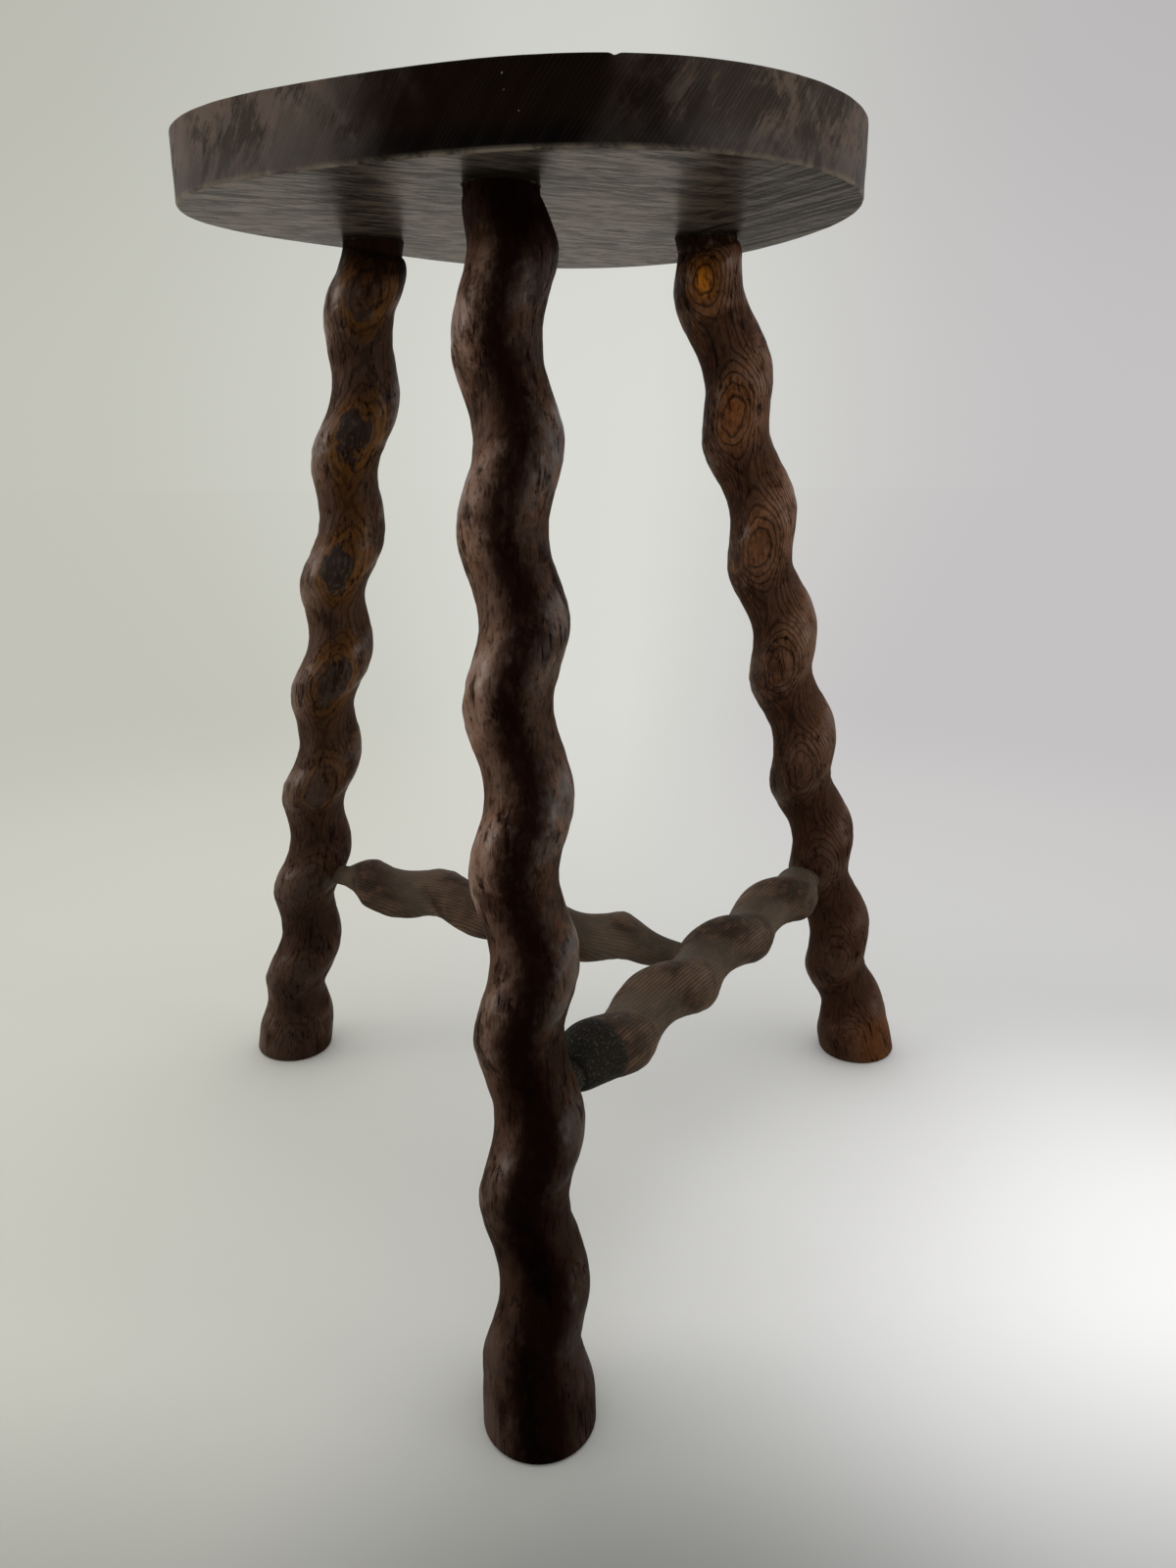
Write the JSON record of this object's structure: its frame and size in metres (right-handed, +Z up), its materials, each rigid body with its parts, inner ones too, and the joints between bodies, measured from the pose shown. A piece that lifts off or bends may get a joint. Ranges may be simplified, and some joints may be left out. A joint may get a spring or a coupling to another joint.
{
  "type": "barley twist stool",
  "caption": "Small round-topped stool on splayed barley twist legs with twisted stretchers, for sitting or as a low stand.",
  "frame": {"origin": "on the floor, under the middle of the rectangle that the stool covers", "axes": "+Z up, the front leg towards -Y, +X to the right of someone who faces the front leg"},
  "size_m": [0.3816, 0.3408, 0.46],
  "materials": {
    "seat_wood": "dark stained, sawn edge, satin",
    "leg_wood": "dark stained, carved and polished, satin",
    "stretcher_wood": "dark stained, dull and dusty"
  },
  "bodies": {
    "root": {"seat": "seat_wood", "front_leg": "leg_wood", "left_leg": "leg_wood", "right_leg": "leg_wood", "cross_stretcher": "stretcher_wood", "stem_stretcher": "stretcher_wood"}
  },
  "joints": []
}
